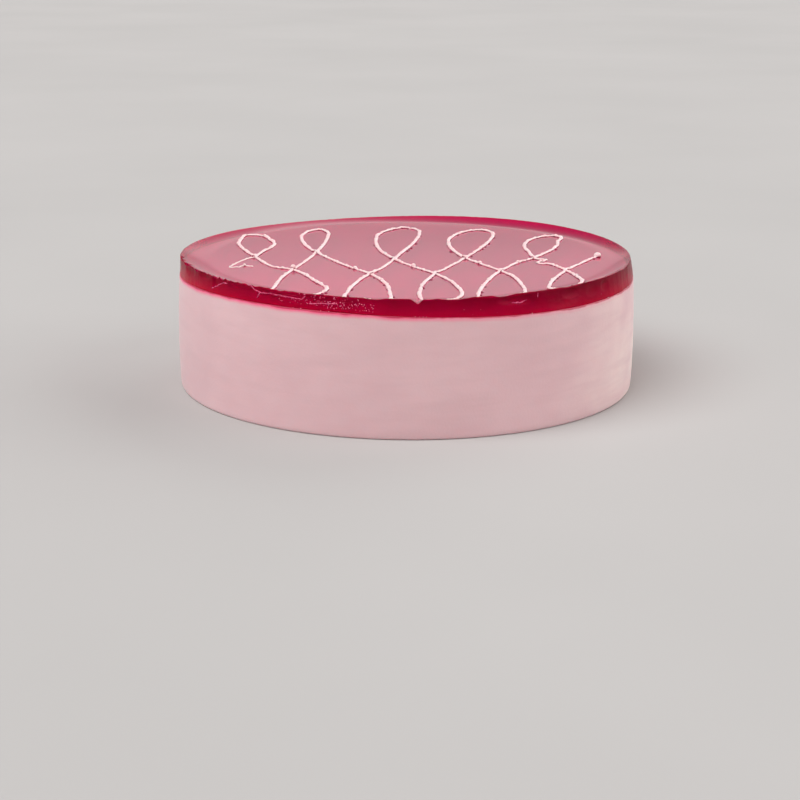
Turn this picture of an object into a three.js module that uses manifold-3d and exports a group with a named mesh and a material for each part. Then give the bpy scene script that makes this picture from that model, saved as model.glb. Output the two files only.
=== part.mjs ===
// Strawberry yogurt cake: a round pink mousse, a red jelly layer set on top of it
// and one white line piped in loops across the jelly.
// Millimetres, +Z up, origin at the middle of the flat base, front of the cake at -Y.

import * as THREE from 'three';
import { mergeVertices } from 'three/addons/utils/BufferGeometryUtils.js';
import Module from 'manifold-3d';

const wasm = await Module();
wasm.setup();

// ---- driving dimensions -------------------------------------------------

const BODY_RADIUS = 110;        // mousse, at its widest
const BASE_INSET = 0.7;         // it is this much narrower where it leaves the plate
const BASE_ROUND = 1.2;         // tightly rounded lower edge
const BELLY = [[0.2, 0.2], [0.45, 0], [0.75, 0.35], [1, 0.9]];  // [share of height, inset]
const OUT_OF_ROUND = 0.35;      // hand-unmoulded, so not a perfect circle
const SEAM_HEIGHT = 53.7;       // mousse to jelly, at the axis
const SEAM_GAP = 0.05;          // keeps the layers face to face, not overlapping

const JELLY_STEP = 0.4;         // jelly sits this far inside the mousse's top edge
const JELLY_TAPER = 1.1;        // and draws in this much more by its crest
const FLAT_HEIGHT = 60.2;       // plate to the flat of the jelly, which set level
const LIP_RISE = 2.2;           // the jelly climbed the mould wall and set as a raised lip
const LIP_REACH = 14;           // the climb begins this far inside the crest
const LIP_CURVE = 3;            // and steepens towards it
const LIP_STEPS = 5;
const CREST_ROUND = 0.35;       // rounded outer edge of the crest

// Slow rises and falls round the edge: waves in a turn, amount, and bearing of a peak in degrees.
const SEAM_WAVES = [[1, 1.25, -140], [2, 0.45, 63], [3, 0.5, 0]];
const CREST_WAVES = [[1, 0.6, -101], [2, 0.65, 23], [3, 0.5, -54]];
const ROUND_WAVES = [[2, 0.6, 22], [3, 0.4, 51]];   // as shares of OUT_OF_ROUND

const NICK_X = 4;               // small V-shaped nick in the lip at the front
const NICK_WIDTH = 5.8;
const NICK_DEPTH = 2.2;
const NICK_REACH = 12;          // how far it cuts in from the outside
const NICK_LIFT = 1;            // the cutting wedge stands this far over the crest

const LINE_WIDTH = 2.0;         // piped line
const LINE_HEIGHT = 1.0;
const LINE_GAP = 0.1;           // keeps its foot clear of the jelly's facets
const LINE_STEP = 4.0;          // facet length along the line
const LINE_SAMPLES = 4;         // points of its curve taken between two of the route's
const LINE_SAG = 3;             // between two crossings it bows this far towards the front
const SHOULDER_ACROSS = 0.72;   // a loop's shoulder, from its tip towards its widest point
const SHOULDER_DOWN = 0.36;
const LINE_DOME = [[0, 1], [0.55, 0.85], [1, 0.4]];   // [share of height, share of half width]
const BLOB_RADIUS = 1.9;        // drop left where the piping stopped
const BLOB_HEIGHT = 2.2;
const BLOB_DOME = [[0, 1], [0.35, 1], [0.85, 0.65], [1, 0]];
const WIPE_RADIUS = 106.3;      // what ran over the lip was wiped off

const ROUND_SEGMENTS = 96;
const BLOB_SEGMENTS = 12;

// Each loop, as the line runs: where it crosses itself, and its right, far and left limits.
const LOOPS = [
  { crossing: [-73, -5], right: [-66, 29], tip: [-77, 54], left: [-84, 28] },
  { crossing: [-52, -36], right: [-35, -77], tip: [-42, -88], left: [-59, -72] },
  { crossing: [-44, 6], right: [-39, 54], tip: [-45, 69], left: [-53, 45] },
  { crossing: [-17, -44], right: [-7, -88], tip: [-17, -118], left: [-27, -90] },
  { crossing: [-6, -9], right: [7, 60], tip: [-3, 74], left: [-16, 36] },
  { crossing: [13, -44], right: [25, -86], tip: [14, -105], left: [6, -87] },
  { crossing: [28, -6], right: [45, 53], tip: [34, 71], left: [21, 38] },
  { crossing: [43, -34], right: [52, -78], tip: [41, -99], left: [31, -89] },
  { crossing: [61, -3], right: [78, 44], tip: [72, 52], left: [58, 29] },
  { crossing: [74, -32], right: [78, -56], tip: [68, -78], left: [63, -71] },
];
const START = [[-72, -29], [-76, -27], [-82, -31], [-79, -19]];    // first hesitant hook
const STUMBLE = [[66, -11], [61, -16], [62, -21], [67, -19]];      // zigzag before the last loop
const STUMBLE_AFTER = 8;                                           // the loop it follows
const END = [[78, -24], [92, 3]];

// ---- shared helpers -----------------------------------------------------

// A profile turned about the vertical axis, standing on z = 0.
function turned(profile, segments = ROUND_SEGMENTS) {
  const points = profile.map(([radius, height]) => new THREE.Vector2(radius, height));
  return new THREE.LatheGeometry(points, segments).rotateX(Math.PI / 2);
}

// Moves every vertex through place(x, y, z) -> [x, y, z].
function reshaped(geometry, place) {
  const position = geometry.attributes.position;
  for (let i = 0; i < position.count; i += 1) {
    position.setXYZ(i, ...place(position.getX(i), position.getY(i), position.getZ(i)));
  }
  return geometry;
}

// The sum of some slow waves at the bearing of (x, y).
function waved(waves, x, y) {
  const bearing = THREE.MathUtils.radToDeg(Math.atan2(y, x));
  const wave = ([count, amount, peak]) => (
    amount * Math.cos(THREE.MathUtils.degToRad(count * (bearing - peak)))
  );
  return waves.reduce((sum, each) => sum + wave(each), 0);
}

// Height of the surface between mousse and jelly; its waves die out towards the axis.
function seamHeight(x, y) {
  return SEAM_HEIGHT + (waved(SEAM_WAVES, x, y) * Math.hypot(x, y)) / BODY_RADIUS;
}

// The slightly uneven circle shared by both layers, as a factor on the radius.
function roundness(x, y) {
  return 1 + (OUT_OF_ROUND * waved(ROUND_WAVES, x, y)) / BODY_RADIUS;
}

function solidOf(geometry) {
  const bare = geometry.clone();
  bare.deleteAttribute('normal');
  bare.deleteAttribute('uv');
  const merged = mergeVertices(bare, 1e-4);
  return new wasm.Manifold(new wasm.Mesh({
    numProp: 3,
    vertProperties: new Float32Array(merged.attributes.position.array),
    triVerts: new Uint32Array(merged.index.array),
  }));
}

function geometryOf(solid) {
  const mesh = solid.getMesh();
  const geometry = new THREE.BufferGeometry();
  geometry.setAttribute('position', new THREE.BufferAttribute(mesh.vertProperties, 3));
  geometry.setIndex(new THREE.BufferAttribute(mesh.triVerts, 1));
  geometry.computeVertexNormals();
  return geometry;
}

function named(name, geometry, material) {
  const mesh = new THREE.Mesh(geometry, material);
  mesh.name = name;
  return mesh;
}

// ---- mousse: set in a ring mould and unmoulded, with a slight belly ----

function mousse() {
  const base = BODY_RADIUS - BASE_INSET;
  const geometry = turned([
    [0, 0],
    [base - BASE_ROUND, 0],
    [base - BASE_ROUND * (1 - Math.SQRT1_2), BASE_ROUND * (1 - Math.SQRT1_2)],
    [base, BASE_ROUND],
    ...BELLY.map(([share, inset]) => [BODY_RADIUS - inset, SEAM_HEIGHT * share]),
    [0, SEAM_HEIGHT],
  ]);
  reshaped(geometry, (x, y, z) => {
    const factor = roundness(x, y);
    const height = (z / SEAM_HEIGHT) * seamHeight(x, y);
    return [x * factor, y * factor, height];
  });
  const material = new THREE.MeshStandardMaterial({ color: '#dbb4b6', roughness: 0.75, metalness: 0 });
  return named('mousse', geometry, material);
}

// ---- jelly: poured on the set mousse, with a raised lip round its flat top ----

const MOUSSE_TOP = BODY_RADIUS - BELLY[BELLY.length - 1][1];
const JELLY_FOOT = MOUSSE_TOP - JELLY_STEP;
const RIM_RADIUS = JELLY_FOOT - JELLY_TAPER;
const CREST_RADIUS = RIM_RADIUS - CREST_ROUND;

// From the edge of the flat top out to the crest, as [radius, share of the rise].
const LIP = Array.from({ length: LIP_STEPS + 1 }, (_, step) => {
  const share = step / LIP_STEPS;
  return [CREST_RADIUS - LIP_REACH * (1 - share), share ** LIP_CURVE];
});

// How high the lip's crest stands over the flat.
function crestRise(x, y) {
  return LIP_RISE + waved(CREST_WAVES, x, y);
}

// How far the jelly's top stands above its flat; the slope runs on past the crest.
function lipRise(x, y) {
  const radius = Math.hypot(x, y) / roundness(x, y);
  if (radius <= LIP[0][0]) return 0;
  const next = LIP.findIndex(([reached]) => reached > radius);
  const outer = next < 0 ? LIP_STEPS : next;
  const [[fromRadius, fromShare], [toRadius, toShare]] = [LIP[outer - 1], LIP[outer]];
  const along = (radius - fromRadius) / (toRadius - fromRadius);
  return crestRise(x, y) * (fromShare + (toShare - fromShare) * along);
}

// Heights in the profile are shares: 0 to 1 up the side, then 2 to 1 for flat to crest.
function jellyDisc() {
  const side = LIP_RISE + FLAT_HEIGHT - SEAM_HEIGHT;
  const top = LIP.map(([radius, share]) => [radius, 2 - share]).reverse();
  const geometry = turned([
    [0, 0],
    [JELLY_FOOT, 0],
    [(JELLY_FOOT + RIM_RADIUS) / 2, 0.5],
    [RIM_RADIUS, 1 - CREST_ROUND / side],
    ...top,
    [0, 2],
  ]);
  return reshaped(geometry, (x, y, share) => {
    const factor = roundness(x, y);
    const foot = seamHeight(x, y) + SEAM_GAP;
    const rise = crestRise(x, y);
    const height = share < 1
      ? foot + share * (FLAT_HEIGHT + rise - foot)
      : FLAT_HEIGHT + (2 - share) * rise;
    return [x * factor, y * factor, height];
  });
}

// V-shaped wedge lying across the front of the lip.
function nick() {
  const half = (NICK_WIDTH / 2) * (1 + NICK_LIFT / NICK_DEPTH);
  const outline = new THREE.Shape([
    new THREE.Vector2(-half, NICK_LIFT),
    new THREE.Vector2(0, -NICK_DEPTH),
    new THREE.Vector2(half, NICK_LIFT),
  ]);
  const wedge = new THREE.ExtrudeGeometry(outline, { depth: NICK_REACH, bevelEnabled: false });
  const crest = FLAT_HEIGHT + crestRise(NICK_X, -CREST_RADIUS);
  return wedge.rotateX(Math.PI / 2).translate(NICK_X, NICK_REACH - BODY_RADIUS, crest);
}

function jelly() {
  const material = new THREE.MeshStandardMaterial({ color: '#9e0526', roughness: 0.12, metalness: 0 });
  return named('jelly', geometryOf(solidOf(jellyDisc()).subtract(solidOf(nick()))), material);
}

// ---- piping: one white line crossing itself at the foot of every loop ----

function onFlat([x, y]) {
  return new THREE.Vector3(x, y, FLAT_HEIGHT + LINE_GAP);
}

// Up the right side, round the tip, down the left side and back to the crossing.
function loopPoints({ crossing, right, tip, left }) {
  const shoulder = (side) => [
    tip[0] + SHOULDER_ACROSS * (side[0] - tip[0]),
    tip[1] + SHOULDER_DOWN * (side[1] - tip[1]),
  ];
  return [crossing, right, shoulder(right), tip, shoulder(left), left, crossing];
}

// Flat-footed dome; x runs downwards and y across the line.
function lineSection() {
  const half = (side) => LINE_DOME.map(([up, out]) => (
    new THREE.Vector2(-up * LINE_HEIGHT, side * out * LINE_WIDTH / 2)
  ));
  return new THREE.Shape([...half(-1), ...half(1).reverse()]);
}

// Swept on the flat, then lifted with the lip wherever the line runs up on it.
function stretch(points) {
  const path = new THREE.CatmullRomCurve3(points, false, 'centripetal');
  const steps = Math.max(1, Math.round(path.getLength() / LINE_STEP));
  const swept = new THREE.ExtrudeGeometry(lineSection(), { steps, extrudePath: path });
  return solidOf(reshaped(swept, (x, y, z) => [x, y, z + lipRise(x, y)]));
}

function endBlob() {
  const dome = BLOB_DOME.map(([up, out]) => [BLOB_RADIUS * out, BLOB_HEIGHT * up]);
  const drop = turned([[0, 0], ...dome], BLOB_SEGMENTS);
  const middle = onFlat(END[END.length - 1]);
  return solidOf(drop.translate(middle.x, middle.y, middle.z));
}

// The whole route, and which of its points are the loops' tips.
function route() {
  const points = [...START];
  const tips = [];
  LOOPS.forEach((loop, index) => {
    tips.push(points.length + 3);
    points.push(...loopPoints(loop));
    if (index === STUMBLE_AFTER) {
      points.push(...STUMBLE);
    } else if (index + 1 < LOOPS.length) {
      const [from, to] = [loop.crossing, LOOPS[index + 1].crossing];
      points.push([(from[0] + to[0]) / 2, (from[1] + to[1]) / 2 - LINE_SAG]);
    }
  });
  points.push(...END);
  return { points, tips };
}

// The line never crosses itself between one tip and the next, so it is swept
// tip to tip and joined; each stretch starts where the one before it ended.
function piping() {
  const { points, tips } = route();
  const whole = new THREE.CatmullRomCurve3(points.map(onFlat), false, 'centripetal');
  const last = points.length - 1;
  const cuts = [0, ...tips, last];
  let line = endBlob();
  for (let i = 0; i + 1 < cuts.length; i += 1) {
    const count = LINE_SAMPLES * (cuts[i + 1] - cuts[i]);
    const samples = Array.from({ length: count + 1 }, (_, step) => (
      whole.getPoint((cuts[i] + step / LINE_SAMPLES) / last)
    ));
    line = line.add(stretch(samples));
  }
  const kept = turned([
    [0, 0],
    [WIPE_RADIUS, 0],
    [WIPE_RADIUS, FLAT_HEIGHT * 2],
    [0, FLAT_HEIGHT * 2],
  ]);
  line = line.intersect(solidOf(kept));
  const material = new THREE.MeshStandardMaterial({ color: '#fbeeea', roughness: 0.45, metalness: 0 });
  return named('piping', geometryOf(line), material);
}

const cake = new THREE.Group();
cake.add(mousse(), jelly(), piping());

export default cake;
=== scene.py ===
import math
from random import Random

import bmesh
import bpy
from mathutils import Matrix, Vector, kdtree, noise


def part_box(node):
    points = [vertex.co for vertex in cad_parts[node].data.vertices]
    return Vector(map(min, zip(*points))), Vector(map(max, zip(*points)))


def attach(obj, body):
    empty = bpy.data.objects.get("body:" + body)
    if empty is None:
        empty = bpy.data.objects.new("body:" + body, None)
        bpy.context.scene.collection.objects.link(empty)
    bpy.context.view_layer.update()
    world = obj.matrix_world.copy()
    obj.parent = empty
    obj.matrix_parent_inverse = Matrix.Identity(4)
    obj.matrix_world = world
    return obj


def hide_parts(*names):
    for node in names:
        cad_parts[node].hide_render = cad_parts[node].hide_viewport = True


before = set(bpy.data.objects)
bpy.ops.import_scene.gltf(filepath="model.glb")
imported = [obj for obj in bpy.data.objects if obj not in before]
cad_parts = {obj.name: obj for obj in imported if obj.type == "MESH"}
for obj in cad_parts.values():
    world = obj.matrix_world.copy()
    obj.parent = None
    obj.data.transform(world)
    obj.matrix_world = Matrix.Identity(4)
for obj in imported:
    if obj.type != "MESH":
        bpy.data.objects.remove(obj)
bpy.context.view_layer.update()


# ---- Mousse ----------------------------------------------------------------
# The body of the cake: one block of set strawberry yogurt mousse, cast in a ring and unmoulded.
# Its side was drawn off a smooth liner, so it is even, matt and only faintly streaked, and a
# little of the red jelly has run down into its upper edge.

MM = 0.001
mousse_low, mousse_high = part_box("mousse")
BODY_RADIUS = (mousse_high.x - mousse_low.x + mousse_high.y - mousse_low.y) / 4
SEAM_PEAK = 2.1 * MM
SEAM_HEIGHT = mousse_high.z - SEAM_PEAK
BASE_INSET = 0.7 * MM
BASE_ROUND = 1.2 * MM
TOP_INSET = 1.05 * MM
TOP_ROUND = 0.5 * MM
BELLY_AT = 0.43
OUT_OF_ROUND = 0.35 * MM
SIDE_SWELL = 0.25 * MM
SIDE_RIPPLE = 0.07 * MM
TURN_STEPS = 512
MOUSSE_ROWS = 48
INNER_RING = 6 * MM
FLAT_SPACING = 12 * MM

# The distances from the middle between which the side's unevenness sets in, and the insets from
# the upper edge between which the tone that shows through the jelly ends.
UNEVEN_FROM_TO = (60 * MM, 105 * MM)
COVERED_ENDS = (1.6 * MM, 0.6 * MM)

# Slow rises and falls round the edge: waves in a turn, amount, and bearing of a peak in degrees.
SEAM_WAVES = [(1, 1.35, -132), (2, 0.45, 63), (3, 0.5, 0)]
ROUND_WAVES = [(2, 0.6, 22), (3, 0.4, 51)]


def smooth_step(value, low, high):
    share = min(1.0, max(0.0, (value - low) / (high - low)))
    return share * share * (3 - 2 * share)


def wobble(x, y, z, seed):
    return noise.noise(Vector((x, y, z + 17.0 * seed)))


def waved(waves, x, y):
    bearing = math.degrees(math.atan2(y, x))
    return sum(amount * math.cos(math.radians(count * (bearing - peak)))
               for count, amount, peak in waves)


def roundness(x, y):
    return 1 + OUT_OF_ROUND * waved(ROUND_WAVES, x, y) / BODY_RADIUS


def seam_height(x, y):
    return SEAM_HEIGHT + waved(SEAM_WAVES, x, y) * MM * math.hypot(x, y) / BODY_RADIUS


def belly_inset(share):
    """How far in from its widest the side stands at a share of its height."""
    if share < BELLY_AT:
        return BASE_INSET * (1 - share / BELLY_AT) ** 2
    return TOP_INSET * ((share - BELLY_AT) / (1 - BELLY_AT)) ** 2


def divided(corners, spacing):
    """The outline's corners with points added, so that no stretch is longer than spacing."""
    points = [corners[0]]
    for (r0, z0), (r1, z1) in zip(corners, corners[1:]):
        count = max(1, round(math.hypot(r1 - r0, z1 - z0) / spacing))
        for step in range(1, count + 1):
            share = step / count
            points.append((r0 + (r1 - r0) * share, z0 + (z1 - z0) * share))
    return points


def turned(profile, steps):
    """A closed bmesh of the profile carried round the vertical axis, with its ends closed."""
    mesh = bmesh.new()
    radius, height = profile[0]
    circle = bmesh.ops.create_circle(mesh, segments=steps, radius=radius)["verts"]
    bmesh.ops.translate(mesh, vec=(0, 0, height), verts=circle)
    first = list(mesh.edges)
    ring = first
    for next_radius, next_height in profile[1:]:
        made = bmesh.ops.extrude_edge_only(mesh, edges=ring)["geom"]
        verts = [part for part in made if isinstance(part, bmesh.types.BMVert)]
        ring = [part for part in made if isinstance(part, bmesh.types.BMEdge) and part.is_boundary]
        grow = next_radius / radius
        bmesh.ops.scale(mesh, vec=(grow, grow, 1), verts=verts)
        bmesh.ops.translate(mesh, vec=(0, 0, next_height - height), verts=verts)
        radius, height = next_radius, next_height
    ends = [bmesh.ops.contextual_create(mesh, geom=end)["faces"][0] for end in (first, ring)]
    bmesh.ops.poke(mesh, faces=ends)
    bmesh.ops.recalc_face_normals(mesh, faces=mesh.faces)
    return mesh


def finished(name, mesh, material):
    data = bpy.data.meshes.new(name)
    mesh.to_mesh(data)
    mesh.free()
    data.polygons.foreach_set("use_smooth", [True] * len(data.polygons))
    data.materials.append(material)
    piece = bpy.data.objects.new(name, data)
    bpy.context.scene.collection.objects.link(piece)
    return piece


def new_material(name, finish):
    """A material, with the plain numbers of its finish on the shader's own sockets."""
    material = bpy.data.materials.new(name)
    material.use_nodes = True
    shader = material.node_tree.nodes["Principled BSDF"]
    for socket, value in finish.items():
        shader.inputs[socket].default_value = value
    return material, material.node_tree, shader


def node(tree, kind, inputs=None, **settings):
    """A shader node; an input that is given a socket is linked to it."""
    made = tree.nodes.new(kind)
    for key, value in settings.items():
        setattr(made, key, value)
    for key, value in (inputs or {}).items():
        if isinstance(value, bpy.types.NodeSocket):
            tree.links.new(value, made.inputs[key])
        else:
            made.inputs[key].default_value = value
    return made


def place_on_piece(tree):
    return node(tree, "ShaderNodeTexCoord").outputs["Object"]


def measured(tree, name):
    """A value that the points of the piece carry."""
    return node(tree, "ShaderNodeAttribute", attribute_name=name).outputs["Fac"]


def clouds(tree, place, scale, detail):
    inputs = {"Vector": place, "Scale": scale, "Detail": detail}
    return node(tree, "ShaderNodeTexNoise", inputs).outputs[0]


def reckoned(tree, operation, *values):
    return node(tree, "ShaderNodeMath", dict(enumerate(values)), operation=operation).outputs[0]


def eased(tree, value, low, high, start=0.0, end=1.0, kind="LINEAR"):
    """Goes from start to end while the value goes from low to high."""
    inputs = {"Value": value, "From Min": low, "From Max": high, "To Min": start, "To Max": end}
    return node(tree, "ShaderNodeMapRange", inputs, interpolation_type=kind).outputs[0]


def laid_over(tree, share, under, over):
    """The colour over another by a share."""
    inputs = {"Factor": share, "A": under, "B": over}
    return node(tree, "ShaderNodeMix", inputs, data_type="RGBA").outputs[2]


def roughened(tree, shader, height, strength):
    """Small relief, 0.2 mm deep at full strength."""
    bump = node(tree, "ShaderNodeBump", {"Strength": strength, "Distance": 0.2 * MM, "Height": height})
    tree.links.new(bump.outputs[0], shader.inputs["Normal"])


def mottle_group():
    """Two tones clouded softly into each other."""
    group = bpy.data.node_groups.new("mottle", "ShaderNodeTree")
    sockets = [("Place", "INPUT", "Vector"), ("Scale", "INPUT", "Float"), ("Dark", "INPUT", "Color"),
               ("Light", "INPUT", "Color"), ("Color", "OUTPUT", "Color"), ("Cloud", "OUTPUT", "Float")]
    for name, side, kind in sockets:
        group.interface.new_socket(name, in_out=side, socket_type="NodeSocket" + kind)
    given = node(group, "NodeGroupInput").outputs
    cloud = eased(group, clouds(group, given["Place"], given["Scale"], 3), 0.32, 0.68)
    tone = laid_over(group, cloud, given["Dark"], given["Light"])
    node(group, "NodeGroupOutput", {"Color": tone, "Cloud": cloud})
    return group


MOTTLE = mottle_group()


def mottled(tree, place, scale, dark, light):
    inputs = {"Place": place, "Scale": scale, "Dark": dark, "Light": light}
    return node(tree, "ShaderNodeGroup", inputs, node_tree=MOTTLE).outputs


MOUSSE_DARK = (0.735, 0.470, 0.498, 1)
MOUSSE_LIGHT = (0.785, 0.520, 0.545, 1)
STREAK = (0.69, 0.44, 0.465, 1)
PAINTED_HIGHLIGHT_PATCH = (0.87, 0.68, 0.64, 1)
STAIN = (0.92, 0.10, 0.25, 1)
SOAKED_EDGE = (0.45, 0.002, 0.05, 1)
UNDER_JELLY = (0.97, 0.35, 0.45, 1)
MOUSSE_FINISH = {
    "Roughness": 0.5,
    "Specular IOR Level": 0.4,
    "Sheen Weight": 0.14,
    "Sheen Roughness": 0.5,
    "Subsurface Weight": 0.4,
    "Subsurface Radius": (1.0, 0.45, 0.4),
    "Subsurface Scale": 3 * MM,
}
STREAK_STRETCH = (30, 30, 190)
STREAK_STRENGTH = 0.5
MOUSSE_RELIEF = 0.32

# From where to where across the cake the pale patches of painted highlight come in, towards the right
# side where the light falls, and the stain fades, and the share of the stain that is left.
HIGHLIGHT_PATCHES_FROM_TO = (55 * MM, 115 * MM)
STAIN_FADES_FROM_TO = (-20 * MM, 80 * MM)
STAIN_LEFT = 0.25

# How ragged the stain is, and between which depths under the seam it and the soaked edge end.
STAIN_RAGGED = 1.8 * MM
STAIN_ENDS = (-0.6 * MM, 1.7 * MM)
SOAK_ENDS = (-0.7 * MM, 0.0)
SOAK_STRENGTH = 0.9


def mousse_material():
    material, tree, shader = new_material("yogurt mousse", MOUSSE_FINISH)
    place = place_on_piece(tree)
    tone = mottled(tree, place, 28, MOUSSE_DARK, MOUSSE_LIGHT)
    across = node(tree, "ShaderNodeSeparateXYZ", {0: place}).outputs["X"]
    # Painted highlight: pale cloudy patches laid over the mousse's colour towards its right side, where
    # the light falls on it.
    towards_lit_right = eased(tree, across, *HIGHLIGHT_PATCHES_FROM_TO, kind="SMOOTHSTEP")
    highlight_share = reckoned(tree, "MULTIPLY", towards_lit_right, tone["Cloud"])
    highlighted = laid_over(tree, highlight_share, tone["Color"], PAINTED_HIGHLIGHT_PATCH)
    stretched = node(tree, "ShaderNodeMapping", {"Vector": place, "Scale": STREAK_STRETCH}).outputs[0]
    streak = clouds(tree, stretched, 1, 4)
    streaked = laid_over(tree, eased(tree, streak, 0.45, 0.75, 0.0, STREAK_STRENGTH), highlighted, STREAK)
    ragged = reckoned(tree, "MULTIPLY", clouds(tree, place, 90, 3), STAIN_RAGGED)
    depth = reckoned(tree, "SUBTRACT", measured(tree, "below_seam"), ragged)
    bleed = eased(tree, depth, *STAIN_ENDS, 1.0, 0.0, "SMOOTHSTEP")
    lasting = eased(tree, across, *STAIN_FADES_FROM_TO, 1.0, STAIN_LEFT)
    stain_and_painted_shade = laid_over(tree, reckoned(tree, "MULTIPLY", bleed, lasting), streaked, STAIN)
    soak_and_painted_shade = eased(tree, depth, *SOAK_ENDS, SOAK_STRENGTH, 0.0, "SMOOTHSTEP")
    edged = laid_over(tree, soak_and_painted_shade, stain_and_painted_shade, SOAKED_EDGE)
    final = laid_over(tree, measured(tree, "under_jelly"), edged, UNDER_JELLY)
    tree.links.new(final, shader.inputs["Base Color"])
    relief = reckoned(tree, "ADD", streak, clouds(tree, place, 900, 2))
    roughened(tree, shader, relief, MOUSSE_RELIEF)
    return material


def mousse_piece():
    foot = BODY_RADIUS - BASE_INSET
    top = BODY_RADIUS - TOP_INSET
    turns = [math.radians(step * 22.5) for step in range(5)]
    under = [(foot - BASE_ROUND * (1 - math.sin(t)), BASE_ROUND * (1 - math.cos(t))) for t in turns]
    shares = [row / MOUSSE_ROWS for row in range(2, MOUSSE_ROWS)]
    corners = [
        *divided([(INNER_RING, 0), (foot - BASE_ROUND, 0)], FLAT_SPACING)[:-1],
        *under,
        *[(BODY_RADIUS - belly_inset(share), SEAM_HEIGHT * share) for share in shares],
        (top, SEAM_HEIGHT - TOP_ROUND),
        (top - 0.24 * TOP_ROUND, SEAM_HEIGHT - 0.3 * TOP_ROUND),
        (top - TOP_ROUND, SEAM_HEIGHT),
        *divided([(top - 4 * TOP_ROUND, SEAM_HEIGHT), (INNER_RING, SEAM_HEIGHT)], FLAT_SPACING),
    ]
    mesh = turned(corners, TURN_STEPS)
    below = mesh.verts.layers.float.new("below_seam")
    covered = mesh.verts.layers.float.new("under_jelly")
    for vert in mesh.verts:
        x, y, z = vert.co
        radius = math.hypot(x, y)
        share = z / SEAM_HEIGHT
        at_side = smooth_step(radius, *UNEVEN_FROM_TO) * smooth_step(share, 0.0, 0.1)
        uneven = SIDE_SWELL * wobble(x * 22, y * 22, z * 30, 1)
        uneven += SIDE_RIPPLE * wobble(x * 60, y * 60, z * 260, 2)
        factor = roundness(x, y) + at_side * uneven / BODY_RADIUS
        if share > 0.99:
            vert[covered] = 1 - smooth_step(radius, *[top - inset for inset in COVERED_ENDS])
        vert.co = (x * factor, y * factor, share * seam_height(x, y))
        vert[below] = seam_height(x, y) - vert.co.z
    return finished("mousse_body", mesh, mousse_material())


mousse = mousse_piece()
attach(mousse, "root")
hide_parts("mousse")


# ---- Jelly -----------------------------------------------------------------
# A clear red fruit jelly, poured on the set mousse inside the same ring. It climbed the ring
# as it set, so a thin raised lip stands all round its flat top. Unmoulding chipped the lip
# and tore flakes off the side at the front left.

FLAT_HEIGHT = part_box("piping")[0].z - 0.1 * MM
LIP_RISE = 2.2 * MM
LIP_REACH = 14 * MM
CREST_WAVES = [(1, 0.6, -101), (2, 0.65, 23), (3, 0.5, -54)]
CREST_ROUND = 0.35 * MM
JELLY_FOOT = BODY_RADIUS - TOP_INSET - 0.3 * MM
RIM_RADIUS = JELLY_FOOT - 1.35 * MM
CREST_RADIUS = RIM_RADIUS - CREST_ROUND
JELLY_STEPS = 1200
SIDE_ROWS = 24
LIP_ROWS = 16

# How far the jelly's underside is sunk in the mousse, and how far in from the crest the print
# and the tears of the side fade out.
JELLY_SINK = 0.4 * MM
SIDE_FADE = 1.5 * MM

# The V-shaped nick at the front: its place, how far it reaches to each side, and its depth.
NICK_X = 4.7 * MM
NICK_WIDTHS = (3.4 * MM, 2.4 * MM)
NICK_DEPTH = 2.4 * MM

# The power by which the lip rises towards its crest, and how much that changes to the front,
# the back and the left end.
LIP_CURL = 3.4
FRONT_CURL = 0.6
BACK_EASE = 1.0
END_EASE = 1.4

# At the left end the lip is lower, and its side stands more upright.
END_DIP = 1.4 * MM
END_SPREAD = 1.2 * MM

# Cracks where flakes tore off the side, each from point to point: bearing in degrees and height
# over the seam in millimetres.
TEARS = [
    [(-144, 1.9), (-142, 3.4), (-139.5, 5.5), (-137.5, 5.8)],
    [(-130, 7.2), (-128.5, 5.4), (-126.5, 4.4), (-123.5, 4.7), (-120, 4.4), (-115, 4.0)],
    [(-113, 2.5), (-110.5, 3.0), (-106, 3.6)],
]
TEAR_DEPTH = 0.5
TEAR_UNEVEN = 0.25
TEAR_SOFTNESS = 0.2

# Shallow hollows left by smaller flakes: bearing and half width in degrees, then height over
# the seam, half height and depth in millimetres.
HOLLOWS = [
    (-157, 4, 6.5, 3.0, 0.5), (-148, 3, 6.8, 2.2, 0.6), (-133, 4, 6.4, 1.8, 0.6),
    (-118, 4, 6.2, 1.3, 0.4), (-64, 5, 6.4, 2.6, 0.9), (-48, 3, 6.5, 2.5, 0.4),
    (-40, 2.5, 5.5, 3.0, 0.4), (-34, 2, 6.0, 3.0, 0.4),
]

# The print of the ring's liner, in millimetres: slow lumps, fine lumps, and the upright ridges,
# which are strongest so many degrees round from the front.
LINER_LUMPS = 0.14
LINER_GRAIN = 0.05
LINER_RIDGES = 0.03
END_RIDGES = 0.10
RIDGES_BEGIN = (50, 75)
RIDGES_END = (92, 112)

# Wear of the crest in millimetres: everywhere, along the torn stretch, and more at its left end.
# The stretch begins and ends between these bearings.
CREST_WEAR = 0.14
TORN_WEAR = 1.5
RAGGED_WEAR = 0.8
TORN_BEGINS = (-176, -164)
TORN_ENDS = (-128, -108)
RAGGED_ENDS = (-160, -145)

# Dips in the crest: bearing and half width in degrees, and depth in millimetres.
CHIPS = [(-97.5, 2.5, 0.5), (-85, 2, 0.35), (-79, 4, 0.8), (-67, 3, 0.9), (-48, 3, 0.3), (-20, 3, 0.3)]


def leftward(x, y):
    return max(0.0, -x / max(MM, math.hypot(x, y)))


def crest_rise(x, y):
    return LIP_RISE + waved(CREST_WAVES, x, y) * MM - END_DIP * leftward(x, y) ** 8


def lip_curve(x, y):
    """The power by which the lip rises: it curls up late, but earlier at the back and the left end."""
    behind = y / max(MM, math.hypot(x, y))
    earlier = BACK_EASE * max(0.0, behind) ** 2 + END_EASE * leftward(x, y) ** 4
    return LIP_CURL - FRONT_CURL * behind - earlier


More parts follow.
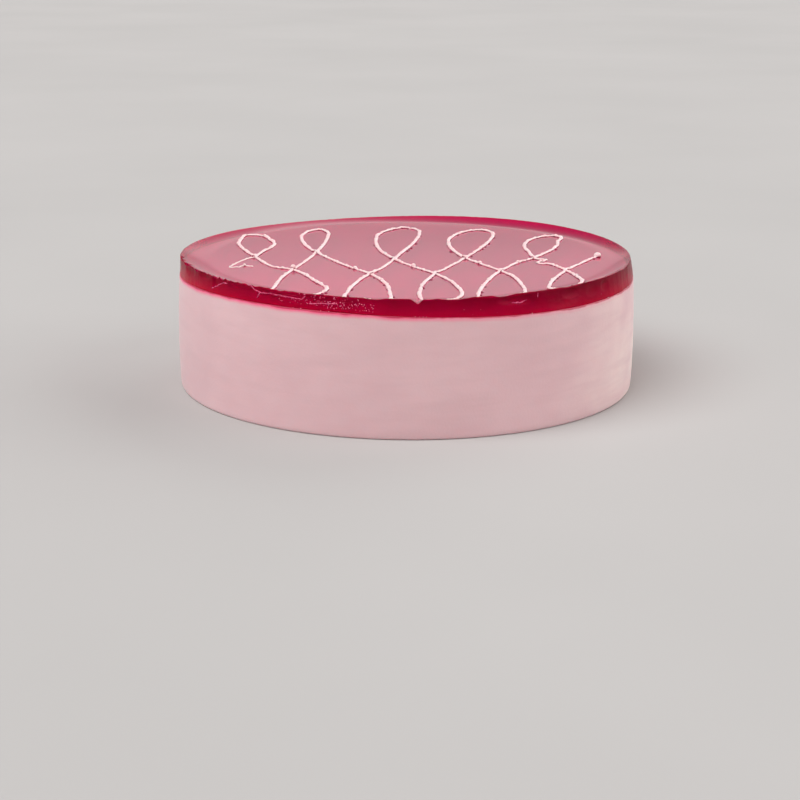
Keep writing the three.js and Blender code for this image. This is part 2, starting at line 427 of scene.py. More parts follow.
def crack_unevenness(bearing):
    return TEAR_UNEVEN * wobble(bearing / 0.9, 0, 0, 7)


def along_crack(crack, bearing):
    """The crack's height at a bearing, or nothing where it doesn't reach."""
    for (start, low), (end, high) in zip(crack, crack[1:]):
        if start <= bearing <= end:
            return low + (high - low) * (bearing - start) / (end - start) + crack_unevenness(bearing)
    return None


def side_inset(bearing, height):
    """How far torn or moulded in the side is, in millimetres."""
    inset = 0.0
    for crack in TEARS:
        ledge = along_crack(crack, bearing)
        if ledge is None:
            continue
        first, last = crack[0][0], crack[-1][0]
        ends = smooth_step(bearing, first, first + 1) * smooth_step(-bearing, -last, 1 - last)
        inset += TEAR_DEPTH * ends * smooth_step(height, ledge - TEAR_SOFTNESS, ledge + TEAR_SOFTNESS)
    for middle, half_width, level, half_height, depth in HOLLOWS:
        bowl = 1 - ((bearing - middle) / half_width) ** 2 - ((height - level) / half_height) ** 2
        inset += depth * max(0.0, bowl)
    return inset


def round_wobble(bearing, width, height, seed):
    """A wobble of the given width in degrees that meets itself round the cake."""
    turn = math.radians(bearing)
    reach = math.degrees(1) / width
    return wobble(reach * math.cos(turn), reach * math.sin(turn), height, seed)


def side_lumps(bearing, height):
    """The uneven print of the ring's liner, with upright ridges at the ends, in millimetres."""
    lumps = LINER_LUMPS * round_wobble(bearing, 6, height / 5, 8)
    lumps += LINER_GRAIN * round_wobble(bearing, 1.2, height / 0.9, 9)
    away = abs((bearing + 270) % 360 - 180)
    ends = smooth_step(away, *RIDGES_BEGIN) * (1 - smooth_step(away, *RIDGES_END))
    ridges = round_wobble(bearing, 1.6, height / 14, 10)
    ridges += 0.5 * round_wobble(bearing, 0.7, height / 14, 11)
    return lumps + (LINER_RIDGES + END_RIDGES * ends) * ridges


def crest_drop(x, bearing):
    """How much of the lip is chipped away, in millimetres."""
    torn = smooth_step(bearing, *TORN_BEGINS) * (1 - smooth_step(bearing, *TORN_ENDS))
    ragged = 1 - smooth_step(bearing, *RAGGED_ENDS)
    teeth = abs(wobble(bearing / 2.4, 0, 0, 3)) + 0.3 * abs(wobble(bearing / 0.8, 0, 0, 4))
    drop = teeth * (CREST_WEAR + (TORN_WEAR + RAGGED_WEAR * ragged) * torn)
    for middle, half_width, depth in CHIPS:
        drop += depth * max(0.0, 1 - ((bearing - middle) / half_width) ** 2)
    if bearing < 0:
        drop = max(drop, NICK_DEPTH / MM * (1 - abs(x - NICK_X) / NICK_WIDTHS[x > NICK_X]))
    return drop


# The jelly's tints: where it is looked down on, and at its side, where painted shade makes it deepest
# at the front right and painted light makes it lightest at the back left, from one distance to another
# along the direction.
TOP_TINT = (0.97, 0.004, 0.25, 1)
SHADED_FRONT_TINT = (0.49, 0.002, 0.037, 1)
LIT_BACK_TINT = (0.88, 0.003, 0.06, 1)
SIDE_SHADE_DIRECTION = (-0.45, 1.0, 0.0)
SIDE_SHADE_FROM_TO = (-50 * MM, 100 * MM)
LIP_LIKE_SIDE = 0.5

# Gloss of the skin on top and of the side, and how rough each is, and a torn place. A place
# looks the more torn the deeper it is, and fully so from a third of a millimetre.
SKIN_GLOSS = 0.64
SIDE_GLOSS = 0.10
SKIN_ROUGH = 0.06
SIDE_ROUGH = 0.22
TORN_ROUGH = 0.15
TORN_LOOK = 3
JELLY_RELIEF = 0.3
JELLY_FINISH = {
    "Coat IOR": 1.36,
    "Coat Roughness": 0.05,
    "Specular Tint": (1.0, 0.05, 0.15, 1),
    "IOR": 1.09,
    "Transmission Weight": 0.9,
}
LET_THROUGH = {"Color": (0.955, 0.0, 0.955, 1), "Density": 600}


def jelly_material():
    material, tree, shader = new_material("red jelly", JELLY_FINISH)
    place = place_on_piece(tree)
    torn = measured(tree, "torn")
    side = measured(tree, "on_side")
    swell = clouds(tree, place, 35, 1)
    relief = reckoned(tree, "MULTIPLY_ADD", clouds(tree, place, 420, 2), torn, swell)
    roughened(tree, shader, relief, JELLY_RELIEF)
    # Painted shade and light: the side is darkened towards the front right, away from the light, and
    # lightened towards the back left.
    along = node(tree, "ShaderNodeVectorMath", {0: place, 1: SIDE_SHADE_DIRECTION}, operation="DOT_PRODUCT")
    behind = eased(tree, along.outputs["Value"], *SIDE_SHADE_FROM_TO)
    tint = laid_over(tree, side, TOP_TINT, laid_over(tree, behind, SHADED_FRONT_TINT, LIT_BACK_TINT))
    tree.links.new(tint, shader.inputs["Base Color"])
    worn = reckoned(tree, "MULTIPLY_ADD", torn, TORN_ROUGH, SKIN_ROUGH)
    rough = reckoned(tree, "MULTIPLY_ADD", side, SIDE_ROUGH, worn)
    tree.links.new(rough, shader.inputs["Roughness"])
    tree.links.new(eased(tree, side, 0, 1, SKIN_GLOSS, SIDE_GLOSS), shader.inputs["Coat Weight"])
    absorbing = node(tree, "ShaderNodeVolumeAbsorption", LET_THROUGH)
    tree.links.new(absorbing.outputs[0], tree.nodes["Material Output"].inputs["Volume"])
    return material


def jelly_piece():
    """Turned with shares for heights: 0 to 1 up the side, then 2 to 1 from flat to crest."""
    rounded = CREST_ROUND / (FLAT_HEIGHT + LIP_RISE - SEAM_HEIGHT)
    climbs = [row / SIDE_ROWS for row in range(SIDE_ROWS + 1)]
    side = [(JELLY_FOOT + (RIM_RADIUS - JELLY_FOOT) * climb, (1 - rounded) * climb) for climb in climbs]
    turns = [math.radians(angle) for angle in (22, 45, 68)]
    edge = [(CREST_RADIUS + CREST_ROUND * math.cos(t), 1 - rounded * (1 - math.sin(t))) for t in turns]
    shares = [1 - row / LIP_ROWS for row in range(LIP_ROWS + 1)]
    lip = [(CREST_RADIUS - LIP_REACH * (1 - share), 2 - share) for share in shares]
    lip_foot = lip[-1][0]
    corners = [
        *divided([(INNER_RING, 0), (JELLY_FOOT - 1 * MM, 0)], FLAT_SPACING),
        *side,
        *edge,
        *lip,
        *divided([(lip_foot, 2), (INNER_RING, 2)], FLAT_SPACING)[1:],
    ]
    mesh = turned(corners, JELLY_STEPS)
    on_side = mesh.verts.layers.float.new("on_side")
    torn = mesh.verts.layers.float.new("torn")
    for vert in mesh.verts:
        x, y, share = vert.co
        radius = math.hypot(x, y)
        bearing = math.degrees(math.atan2(y, x))
        foot = seam_height(x, y)
        rise = crest_rise(x, y)
        drop = crest_drop(x, bearing) * MM if radius > lip_foot else 0.0
        chipped = FLAT_HEIGHT + rise - drop
        if share < 1:
            z = foot + share * (chipped - foot)
        else:
            z = min(FLAT_HEIGHT + (2 - share) ** lip_curve(x, y) * rise, chipped)
        if share == 0 and radius < JELLY_FOOT - 0.5 * MM:
            z -= JELLY_SINK
        upright = min(share, 2 - share)
        factor = roundness(x, y) + END_SPREAD * upright * leftward(x, y) ** 3 / BODY_RADIUS
        near = smooth_step(radius, CREST_RADIUS - SIDE_FADE, CREST_RADIUS)
        vert[on_side] = near if share < 1 else LIP_LIKE_SIDE * (2 - share) ** 3
        if near > 0:
            height = (z - foot) / MM
            gone = side_inset(bearing, height)
            factor -= near * (gone - side_lumps(bearing, height)) * MM / BODY_RADIUS
            vert[torn] = min(1.0, gone * TORN_LOOK)
        vert.co = (x * factor, y * factor, z)
    return finished("jelly_layer", mesh, jelly_material())


jelly = jelly_piece()
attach(jelly, "root")
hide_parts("jelly")


# ---- Torn jelly edges ------------------------------------------------------
# Where flakes of jelly came away with the ring, the edge that each left behind is ragged and pale. It
# is the same jelly, pulled up in a thin uneven seam along every crack and scratch; its paleness is
# partly the torn jelly's own and partly painted highlight where the ledges catch the light.

# Fine scratches up the side, in the same way as the cracks.
SCRATCHES = [
    [(-127.3, 2.0), (-126.6, 4.4)],
    [(-115, 4.0), (-113.9, 5.8)],
    [(-58.2, 6.8), (-58.0, 8.9)],
    [(-65, 5.2), (-63, 4.8), (-61, 6.0)],
]
MM_IN_A_DEGREE = 1.9

# The ragged edge's width, the spacing of its points in millimetres, and the share of its width
# that it has at its thinnest and gains where it swells.
EDGE_WIDTH = 0.5 * MM
EDGE_SPACING = 0.3
EDGE_THINNEST = 0.45
EDGE_SWELL = 1.6
TORN_DARK = (0.48, 0.012, 0.10, 1)
# The pale tone is partly torn jelly and partly painted highlight along the ledges.
TORN_PALE_AND_HIGHLIGHT = (0.82, 0.15, 0.31, 1)
TORN_FINISH = {"Roughness": 0.5, "Specular IOR Level": 0.25}


def side_point(bearing, height, proud=0.0):
    """A point on the jelly's side, and so far proud of it."""
    turn = math.radians(bearing)
    x, y = math.cos(turn), math.sin(turn)
    share = height * MM / (FLAT_HEIGHT + crest_rise(x, y) - SEAM_HEIGHT)
    radius = (JELLY_FOOT + (RIM_RADIUS - JELLY_FOOT) * share) * roundness(x, y)
    radius += END_SPREAD * share * leftward(x, y) ** 3 + proud
    radius += (side_lumps(bearing, height) - side_inset(bearing, height)) * MM
    return Vector((x * radius, y * radius, seam_height(x * radius, y * radius) + height * MM))


def mottled_material(name, scale, dark, light, finish):
    material, tree, shader = new_material(name, finish)
    tone = mottled(tree, place_on_piece(tree), scale, dark, light)
    tree.links.new(tone["Color"], shader.inputs["Base Color"])
    return material


def swept(name, runs, outline):
    """A mesh of an outline carried along runs of (point, size) pairs."""
    path = bpy.data.curves.new(name, "CURVE")
    path.dimensions = "3D"
    path.twist_mode = "Z_UP"
    path.use_fill_caps = True
    dome = bpy.data.curves.new(name + " section", "CURVE")
    dome.dimensions = "2D"
    ring = dome.splines.new("POLY")
    ring.points.add(len(outline) - 1)
    for point, (across, up) in zip(ring.points, outline):
        point.co = (across, up, 0, 1)
    ring.use_cyclic_u = True
    section = bpy.data.objects.new(name + " section", dome)
    path.bevel_mode = "OBJECT"
    path.bevel_object = section
    for run in runs:
        spline = path.splines.new("POLY")
        spline.points.add(len(run) - 1)
        for point, (place, size) in zip(spline.points, run):
            point.co = (*place, 1)
            point.radius = size
    source = bpy.data.objects.new(name, path)
    for made in (source, section):
        bpy.context.scene.collection.objects.link(made)
    bpy.context.view_layer.update()
    graph = bpy.context.evaluated_depsgraph_get()
    data = bpy.data.meshes.new_from_object(source.evaluated_get(graph))
    for spare in (source, section):
        bpy.data.objects.remove(spare)
    mesh = bmesh.new()
    mesh.from_mesh(data)
    bpy.data.meshes.remove(data)
    bmesh.ops.remove_doubles(mesh, verts=mesh.verts, dist=MM / 1000)
    bmesh.ops.recalc_face_normals(mesh, faces=mesh.faces)
    return mesh


def torn_edges_piece():
    runs = []
    for crack in TEARS + SCRATCHES:
        run = []
        for (start, low), (end, high) in zip(crack, crack[1:]):
            length = math.hypot((end - start) * MM_IN_A_DEGREE, high - low)
            count = max(4, round(length / EDGE_SPACING))
            for step in range(count):
                bearing = start + (end - start) * step / count
                height = low + (high - low) * step / count + crack_unevenness(bearing)
                size = EDGE_THINNEST + EDGE_SWELL * abs(wobble(bearing * 2.1, height * 1.7, 0, 14))
                run.append((side_point(bearing, height), size))
        runs.append(run)
    turns = [math.radians(step * 60) for step in range(6)]
    outline = [(EDGE_WIDTH / 2 * math.cos(t), EDGE_WIDTH / 2 * math.sin(t)) for t in turns]
    material = mottled_material("pale torn jelly and painted highlight", 900, TORN_DARK, TORN_PALE_AND_HIGHLIGHT, TORN_FINISH)
    return finished("torn_jelly_edges", swept("torn edge", runs, outline), material)


torn_edges = torn_edges_piece()
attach(torn_edges, "root")


# ---- Mould bubbles ---------------------------------------------------------
# Small bubbles of froth that rose against the ring while the jelly was warm, and set in its side; their
# pale pink is painted glints, where the bubbles sparkle. They lie in patches at the front, left of the
# middle, with a few alone elsewhere.

# Patches of bubbles: first and last bearing in degrees, lowest and highest over the seam in
# millimetres, and how many.
BUBBLE_PATCHES = [(-108.5, -97.5, 1.2, 4.4, 80), (-121, -105, 2.0, 4.5, 36), (-116, -101, 5.0, 7.2, 30)]
# Bubbles alone: bearing, and height over the seam. The radii are in millimetres too.
LONE_BUBBLES = [(-75, 1.0), (-69, 1.5), (-77, 3.2), (-73, 3.0), (-36, 2.6), (-55, 1.8)]
BUBBLE_RADII = (0.10, 0.24)
DOT_UNEVEN = 0.3
FROTH_DARK = (0.62, 0.03, 0.18, 1)
# The light tone of the bubbles is painted glint.
FROTH_PAINTED_GLINT = (0.95, 0.28, 0.46, 1)


def dotted_piece(name, places, material):
    """Small beads, each at a point and of a radius, squeezed a little out of round."""
    mesh = bmesh.new()
    for place, radius in places:
        made = bmesh.ops.create_icosphere(mesh, subdivisions=2, radius=radius)["verts"]
        for vert in made:
            x, y, z = vert.co / radius
            vert.co *= 1 + DOT_UNEVEN * wobble(x + place.x / MM, y, z, 15)
        bmesh.ops.translate(mesh, vec=place, verts=made)
    return finished(name, mesh, material)


scatter = Random(5)
bubbles = [(scatter.uniform(first, last), scatter.uniform(lowest, highest))
           for first, last, lowest, highest, count in BUBBLE_PATCHES for _ in range(count)]
bubble_places = [(side_point(bearing, height), scatter.uniform(*BUBBLE_RADII) * MM)
                 for bearing, height in bubbles + LONE_BUBBLES]
froth_and_glint_jelly = mottled_material("frothy jelly with painted glints", 900, FROTH_DARK, FROTH_PAINTED_GLINT, TORN_FINISH)
mould_bubbles = dotted_piece("mould_bubbles", bubble_places, froth_and_glint_jelly)
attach(mould_bubbles, "root")


# ---- Mousse crumbs ---------------------------------------------------------
# A few crumbs of the mousse, rubbed off its upper edge when the ring was drawn, that cling to
# the foot of the jelly along the seam. They are the same mousse, stained as its edge is.

# Bearings of the crumbs in degrees, their radii and their height over the seam in millimetres,
# how far proud of the side they sit, and the depth under the seam whose stain they have.
CRUMB_BEARINGS = [-117, -115, -110, -108, -88.2, -87.2, -86.4, -85.7, -60, -33, 20, 75, 130, 170]
CRUMB_RADII = (0.15, 0.32)
CRUMB_LEVEL = 0.1
CRUMB_PROUD = 0.1 * MM
CRUMB_STAIN_DEPTH = 0.8 * MM

crumb_places = [(side_point(bearing, CRUMB_LEVEL, CRUMB_PROUD), scatter.uniform(*CRUMB_RADII) * MM)
                for bearing in CRUMB_BEARINGS]
mousse_crumbs = dotted_piece("mousse_crumbs", crumb_places, mousse.data.materials[0])
stain_depth = mousse_crumbs.data.attributes.new("below_seam", "FLOAT", "POINT")
stain_depth.data.foreach_set("value", [CRUMB_STAIN_DEPTH] * len(stain_depth.data))
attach(mousse_crumbs, "root")


# ---- Piping ----------------------------------------------------------------
# One unbroken line of white icing, piped freehand from left to right over the jelly. It loops
# up and down and crosses itself at the foot of every loop, with small blobs where the hand slowed.

# The line's width in millimetres in a loop, in the leg between two loops and in the first hook,
# how high it stands, how deep it is sunk in the jelly, and the spacing of its points.
LOOP_WIDTH = 1.6
LEG_WIDTH = 1.45
START_WIDTH = 1.0
BEAD_HEIGHT = 0.68 * MM
BEAD_SINK = 0.3 * MM
LINE_SPACING = 0.7 * MM

# Where the line crosses itself it is lifted: fully where the older line is close, and not at all
# where it is far. Only a point that is more than so many steps older counts.
CROSSING_LIFT = 0.75 * MM
CROSSING_REACH = (0.3 * MM, 2.4 * MM)
CROSSING_STEPS = 12

# How the hand drifted, slowly and then quickly, across and along, and how the width varies.
SLOW_DRIFT = 0.3 * MM
QUICK_ACROSS = 0.4 * MM
QUICK_ALONG = 0.6 * MM
SLOW_SWELL = 0.32
QUICK_SWELL = 0.62

# The line is lost where it would run over the lip's crest.
LOST_RADIUS = 106.3 * MM

# The line's route seen from above, in millimetres. It starts with a hesitant hook; each loop
# starts at its crossing and comes back to it; the leg to the next one sags a little, and before
# the last loop the hand stumbled. A third number is the width there, where the line is thinner
# at the lip.
LINE_START = [(-72, -28.5), (-76, -27), (-79, -30), (-82.5, -30.5), (-81.5, -24), (-77.5, -12)]
LOOPS = [
    [(-73, -5), (-70, 9), (-67, 18), (-66, 29), (-68.5, 38.5), (-73, 50), (-78, 52.5), (-82, 51.5),
     (-83.5, 40), (-83.5, 27), (-78.5, 9.5)],
    [(-53, -36), (-46.5, -48), (-42, -60), (-35.5, -77.5), (-37.5, -87), (-43, -93, 1.1),
     (-52, -89, 0.5), (-59, -84, 0.9), (-58.5, -72), (-57, -55)],
    [(-44, 7), (-41.5, 25), (-40.3, 45), (-40.5, 60), (-45, 69.5), (-50, 65), (-53.5, 50),
     (-51.5, 31), (-47.5, 16)],
    [(-17, -44.5), (-11.5, -59), (-8.5, -72), (-7.5, -88), (-7, -99), (-9, -114), (-13.5, -107, 0.8),
     (-17.5, -103.5, 0.9), (-22, -114), (-27, -100), (-26, -83), (-22, -61)],
    [(-6, -9), (-3, 5), (3, 31), (6.5, 58), (5, 71), (-1, 76.5), (-8, 70.5), (-14, 58), (-15.5, 40),
     (-13.5, 15)],
    [(13, -43.5), (19, -58), (22, -70), (24, -85), (22.5, -95), (18, -101, 1.1), (12, -102, 0.9),
     (8, -103, 0.5), (6, -98), (5.5, -84), (7, -68), (10, -55)],
    [(28, -5), (38, 25.5), (44, 54), (43.5, 65), (39, 70.5), (33.5, 69), (26.5, 60), (21.5, 43),
     (21, 27), (24, 8)],
    [(43.5, -36), (48.5, -49), (51, -64), (52, -80), (50.5, -89), (45, -92.5, 0.9), (37, -96, 0.4),
     (31.5, -97, 1.1), (31.5, -85), (34, -70), (38, -53)],
    [(61, -4), (72, 18.5), (75, 29), (76, 39), (78.5, 47.5), (77.5, 53), (74, 55), (66, 49.5),
     (60.5, 38), (58.3, 24.5), (59.5, 11)],
    [(74, -34), (77.5, -46.5), (79, -57), (78, -65), (74, -72, 0.5), (68, -76.5, 0.9),
     (63.5, -75.5), (64, -66), (67, -54)],
]
SAGS = [8, 3, 3.2, 3.3, 1.5, 1, 0.5, -3.5]
STUMBLE = [(62.5, -7), (66.5, -9), (62, -15), (63.5, -18.5), (67, -18.5)]
LINE_END = [(85, -12), (92, 1)]

# The drop where the line ends: its radius, how flat it is, and how high its middle stands.
DROP_RADIUS = 1.8 * MM
DROP_SQUASH = 0.8
DROP_LIFT = 0.55

# Places where the hand slowed and the line stands up in a peak, and its size in millimetres.
PEAKS = [
    (-23.5, -32, 1.0), (-53, -35, 1.2), (-76, -27, 0.8), (-73, 49, 0.9), (3, -27, 1.1),
    (34, -19, 1.0), (-11.3, -59, 0.9), (-46, -49, 0.9), (-11, 4, 0.8), (76, -31, 0.8),
    (53, -16, 0.9), (24, 8, 0.7), (-4, -14, 0.8), (-8, -78, 0.8), (-71, -12, 0.7),
    (48, -47, 0.8), (77.5, -47, 0.9), (-41, -63, 0.8),
]
PEAK_SQUASH = 0.95
PEAK_LIFT = 0.9


def line_route():
    """Every point of the route with its width, in metres."""
    route = [(x, y, START_WIDTH) for x, y in LINE_START]
    for index, loop in enumerate(LOOPS):
        crossing = (*loop[0], LEG_WIDTH)
        route += [crossing, *[(*place, LOOP_WIDTH)[:3] for place in loop[1:]], crossing]
        if index < len(SAGS):
            after = LOOPS[index + 1][0]
            halfway = ((loop[0][0] + after[0]) / 2, (loop[0][1] + after[1]) / 2 - SAGS[index])
            route.append((*halfway, LEG_WIDTH))
        elif loop is not LOOPS[-1]:
            route += [(x, y, LEG_WIDTH) for x, y in STUMBLE]
    route += [(x, y, LEG_WIDTH) for x, y in LINE_END]
    return [Vector(point) * MM for point in route]


def smooth_curve(points, spacing):
    """A centripetal curve through the points, sampled evenly."""
    ends = [points[0] * 2 - points[1], *points, points[-1] * 2 - points[-2]]
    curve = []
    for p0, p1, p2, p3 in zip(ends, ends[1:], ends[2:], ends[3:]):
        knots = [0.0]
        for a, b in ((p0, p1), (p1, p2), (p2, p3)):
            knots.append(knots[-1] + max(1e-9, (b - a).length) ** 0.5)
        t0, t1, t2, t3 = knots
        count = max(2, math.ceil((p2 - p1).length / spacing))
        for step in range(count):
            t = t1 + (t2 - t1) * step / count
            a1 = p0 * ((t1 - t) / (t1 - t0)) + p1 * ((t - t0) / (t1 - t0))
            a2 = p1 * ((t2 - t) / (t2 - t1)) + p2 * ((t - t1) / (t2 - t1))
            a3 = p2 * ((t3 - t) / (t3 - t2)) + p3 * ((t - t2) / (t3 - t2))
            b1 = a1 * ((t2 - t) / (t2 - t0)) + a2 * ((t - t0) / (t2 - t0))
            b2 = a2 * ((t3 - t) / (t3 - t1)) + a3 * ((t - t1) / (t3 - t1))
            curve.append(b1 * ((t2 - t) / (t2 - t1)) + b2 * ((t - t1) / (t2 - t1)))
    return curve + [points[-1]]


def surface_height(x, y):
    """The height of the jelly's top, unchipped."""
    share = max(0.0, (math.hypot(x, y) / roundness(x, y) - CREST_RADIUS + LIP_REACH) / LIP_REACH)
    return FLAT_HEIGHT + crest_rise(x, y) * share ** lip_curve(x, y)


def laid_line():
    """The line as runs of (place, width), laid on the jelly and over itself."""
    route = smooth_curve(line_route(), LINE_SPACING)
    tree = kdtree.KDTree(len(route))
    for index, (x, y, _) in enumerate(route):
        tree.insert((x, y, 0), index)
    tree.balance()
    close, far = CROSSING_REACH
    runs, run = [], []
    for index, (x, y, width) in enumerate(route):
        near = tree.find_range((x, y, 0), far)
        gaps = [gap for _, other, gap in near if other < index - CROSSING_STEPS]
        lift = CROSSING_LIFT * (1 - smooth_step(min(gaps), close, far)) if gaps else 0.0
        x += SLOW_DRIFT * wobble(index / 14, 0, 0, 16) + QUICK_ACROSS * wobble(index / 3, 0, 0, 17)
        y += SLOW_DRIFT * wobble(index / 14, 0, 0, 18) + QUICK_ALONG * wobble(index / 3, 0, 0, 19)
        if math.hypot(x, y) / roundness(x, y) > LOST_RADIUS:
            if run:
                runs.append(run)
            run = []
            continue
        swell = 1 + SLOW_SWELL * wobble(index / 9, 0, 0, 12)
        swell += QUICK_SWELL * wobble(index / 2.3, 0, 0, 13)
        run.append((Vector((x, y, surface_height(x, y) - BEAD_SINK + lift)), width * swell / MM))
    runs.append(run)
    return runs


ICING_DARK = (0.93, 0.60, 0.62, 1)
ICING_LIGHT = (0.96, 0.71, 0.72, 1)
# The dark crimson of the bead's foot is painted shade on its underside.
ICING_PAINTED_SHADE = (0.16, 0.01, 0.035, 1)
ICING_FINISH = {
    "Roughness": 0.4,
    "Subsurface Weight": 0.4,
    "Subsurface Radius": (1.0, 0.7, 0.7),
    "Subsurface Scale": 0.5 * MM,
}

# Painted shade darkens the icing where its surface turns down, on the bead's shaded underside,
# unevenly: how much the blotches count against the turn, and between which values it is fully shaded
# and not at all.
SHADE_BLOTCH_WEIGHT = -1.6
ICING_SHADE_FROM_TO = (-1.3, -0.75)


def icing_material():
    material, tree, shader = new_material("white icing", ICING_FINISH)
    place = place_on_piece(tree)
    tone = mottled(tree, place, 160, ICING_DARK, ICING_LIGHT)
    normal = node(tree, "ShaderNodeNewGeometry").outputs["Normal"]
    upward = node(tree, "ShaderNodeSeparateXYZ", {0: normal}).outputs["Z"]
    # Painted shade: colour laid on where the icing's surface faces down.
    uneven = reckoned(tree, "MULTIPLY_ADD", clouds(tree, place, 420, 1), SHADE_BLOTCH_WEIGHT, upward)
    soak_and_painted_shade = eased(tree, uneven, *ICING_SHADE_FROM_TO, 1.0, 0.0)
    stain_and_painted_shade = laid_over(tree, soak_and_painted_shade, tone["Color"], ICING_PAINTED_SHADE)
    tree.links.new(stain_and_painted_shade, shader.inputs["Base Color"])
    return material


def piping_piece(runs):
    turns = [math.radians(angle) for angle in range(-30, 211, 24)]
    outline = [(math.cos(t) * MM / 2, (1 + math.sin(t)) * BEAD_HEIGHT / 2) for t in turns]
    mesh = swept("piped line", runs, outline)
    end = runs[-1][-1][0]
    drops = [(end + Vector((0, 0, DROP_RADIUS * DROP_LIFT)), DROP_RADIUS, DROP_SQUASH)]
    for x, y, size in PEAKS:
        place, _ = min((point for run in runs for point in run),
                       key=lambda point: math.hypot(point[0].x - x * MM, point[0].y - y * MM))
        drops.append((place + Vector((0, 0, size * PEAK_LIFT * MM)), size * MM, PEAK_SQUASH))
    for place, radius, squash in drops:
        drop = bmesh.ops.create_uvsphere(mesh, u_segments=16, v_segments=10, radius=radius)["verts"]
        bmesh.ops.scale(mesh, vec=(1, 1, squash), verts=drop)
        bmesh.ops.translate(mesh, vec=place, verts=drop)
    return finished("piped_icing_line", mesh, icing_material())


line_runs = laid_line()
piping = piping_piece(line_runs)
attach(piping, "root")
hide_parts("piping")


# ---- Painted shade spots ---------------------------------------------------
# Dark crimson drops, painted shade where the line's blobs shade the jelly and darken its reflection.
# They stand partly sunk in the jelly's top, along the near side of the line.

# How many drops there are, and from where to the right they lie. Their radii are in millimetres,
# and they are sunk by a share of them.
SHADE_SPOT_COUNT = 60
SHADE_SPOT_FROM = -40 * MM
SHADE_SPOT_RADII = (0.5, 1.05)
SHADE_SPOT_SINK = 0.4
# The drops' dark crimson is painted shade.
SHADE_SPOT_DARK = (0.27, 0.006, 0.05, 1)
SHADE_SPOT_LIGHT = (0.42, 0.02, 0.10, 1)
SHADE_SPOT_FINISH = {"Roughness": 0.3}
POINTS_AHEAD = 3


def shade_spot_places(runs):
    draw = Random(11)
    stretches = [(place, ahead - place, width) for run in runs
                 for (place, width), (ahead, _) in zip(run, run[POINTS_AHEAD:]) if place.x > SHADE_SPOT_FROM]
    places = []
    for place, along, width in (draw.choice(stretches) for _ in range(SHADE_SPOT_COUNT)):
        radius = draw.uniform(*SHADE_SPOT_RADII) * MM
        aside = Vector((along.y, -along.x, 0)).normalized()
        sunk = SHADE_SPOT_SINK * radius
        beside = place + aside * math.copysign(width * MM / 2 + sunk, -aside.y)
        beside.z = surface_height(beside.x, beside.y) - sunk
        places.append((beside, radius))
    return places


painted_shade_drops = mottled_material("crimson painted shade", 700, SHADE_SPOT_DARK, SHADE_SPOT_LIGHT, SHADE_SPOT_FINISH)
painted_shade_spots = dotted_piece("painted_shade_spots", shade_spot_places(line_runs), painted_shade_drops)
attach(painted_shade_spots, "root")


# ---- Stage -----------------------------------------------------------------
# A plain pale table in a plain room that is brightest in a band above the horizon, with a wide
# soft lamp at the front left, a weaker, lower one at the right and one behind at the right.

TABLE_SIZE = 24
TABLE_DARK = (0.488, 0.468, 0.459, 1)
TABLE_LIGHT = (0.512, 0.490, 0.481, 1)
TABLE_FINISH = {"Roughness": 1.0, "Specular IOR Level": 0.0}

table_mesh = bmesh.new()
bmesh.ops.create_grid(table_mesh, x_segments=1, y_segments=1, size=TABLE_SIZE)
pale_table = mottled_material("pale table", 3, TABLE_DARK, TABLE_LIGHT, TABLE_FINISH)
table = finished("table_top", table_mesh, pale_table)

# The room's brightness by the sine of the height over the horizon, and its warmth.
ROOM_TONES = [(0.0, 0.62), (0.158, 0.62), (0.17, 0.56), (0.178, 0.64), (0.19, 0.83), (0.21, 0.98),
              (0.235, 0.98), (0.27, 0.72), (0.31, 0.52), (0.36, 0.36), (0.5, 0.24), (0.75, 0.16),
              (1.0, 0.14)]
ROOM_WARMTH = (1.0, 0.965, 0.95)


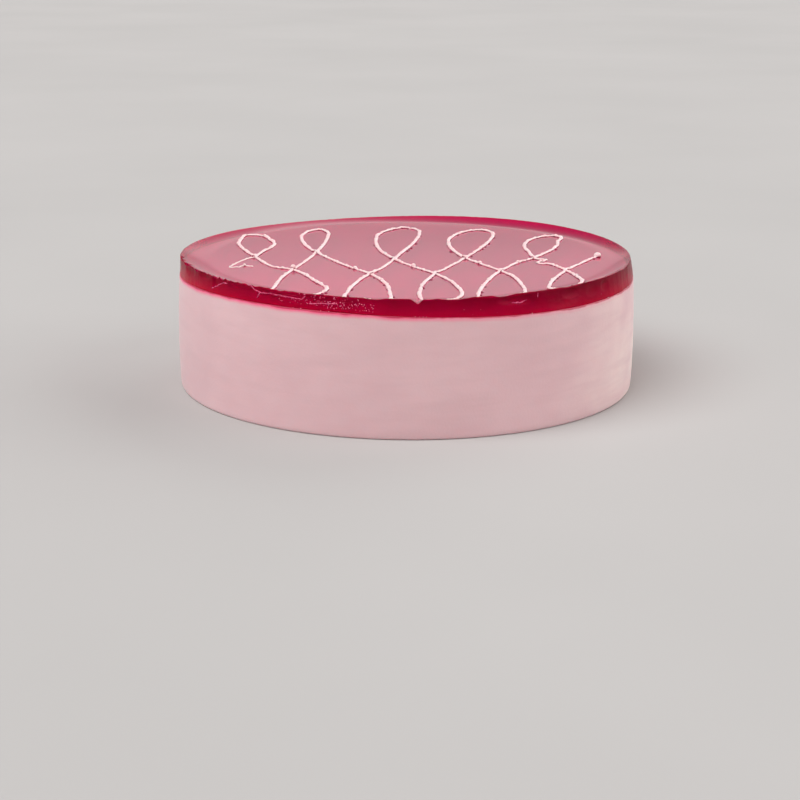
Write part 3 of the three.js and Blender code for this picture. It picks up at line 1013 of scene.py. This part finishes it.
def pale_room():
    world = bpy.data.worlds.new("pale room")
    world.use_nodes = True
    tree = world.node_tree
    place = node(tree, "ShaderNodeTexCoord").outputs["Generated"]
    height = node(tree, "ShaderNodeSeparateXYZ", {0: place}).outputs["Z"]
    tones = node(tree, "ShaderNodeValToRGB", {0: height})
    stops = tones.color_ramp.elements
    stops.remove(stops[1])
    for position, tone in ROOM_TONES:
        stop = stops.new(position) if position else stops[0]
        stop.color = (*[tone * warmth for warmth in ROOM_WARMTH], 1)
    tree.links.new(tones.outputs[0], tree.nodes["Background"].inputs["Color"])
    bpy.context.scene.world = world


def soft_sun(name, bearing, height, spread, strength, tint):
    """A wide soft lamp, far off: bearing and height in degrees say where it stands."""
    lamp = bpy.data.lights.new(name, "SUN")
    lamp.angle = math.radians(spread)
    lamp.energy = strength
    lamp.color = tint
    holder = bpy.data.objects.new(name, lamp)
    turn = Matrix.Rotation(math.radians(bearing + 90), 3, "Z")
    lean = Matrix.Rotation(math.radians(90 - height), 3, "X")
    holder.rotation_euler = (turn @ lean).to_euler()
    bpy.context.scene.collection.objects.link(holder)


pale_room()
soft_sun("key lamp", bearing=-143, height=57, spread=50, strength=2.6, tint=(0.98, 1.0, 1.0))
soft_sun("fill lamp", bearing=-5, height=25, spread=50, strength=1.15, tint=(1.0, 1.0, 1.0))
soft_sun("rim lamp", bearing=55, height=30, spread=45, strength=1.0, tint=(1.0, 1.0, 1.0))
bpy.context.scene.view_settings.view_transform = "Standard"

# The camera's place in metres, and its turns in degrees.
CAMERA_PLACE = (-0.0020, -0.8662, 0.2282)
CAMERA_LENS = 81.95
CAMERA_YAW = 0.064
CAMERA_DOWN = 15.5
CAMERA_ROLL = 0.311

lens = bpy.data.cameras.new("camera")
lens.lens = CAMERA_LENS
lens.clip_start = 10 * MM
lens.clip_end = 60
camera = bpy.data.objects.new("camera", lens)
camera.location = CAMERA_PLACE
yaw = Matrix.Rotation(math.radians(CAMERA_YAW), 3, "Z")
pitch = Matrix.Rotation(math.radians(90 - CAMERA_DOWN), 3, "X")
roll = Matrix.Rotation(math.radians(CAMERA_ROLL), 3, "Z")
camera.rotation_euler = (yaw @ pitch @ roll).to_euler()
bpy.context.scene.collection.objects.link(camera)
bpy.context.scene.camera = camera
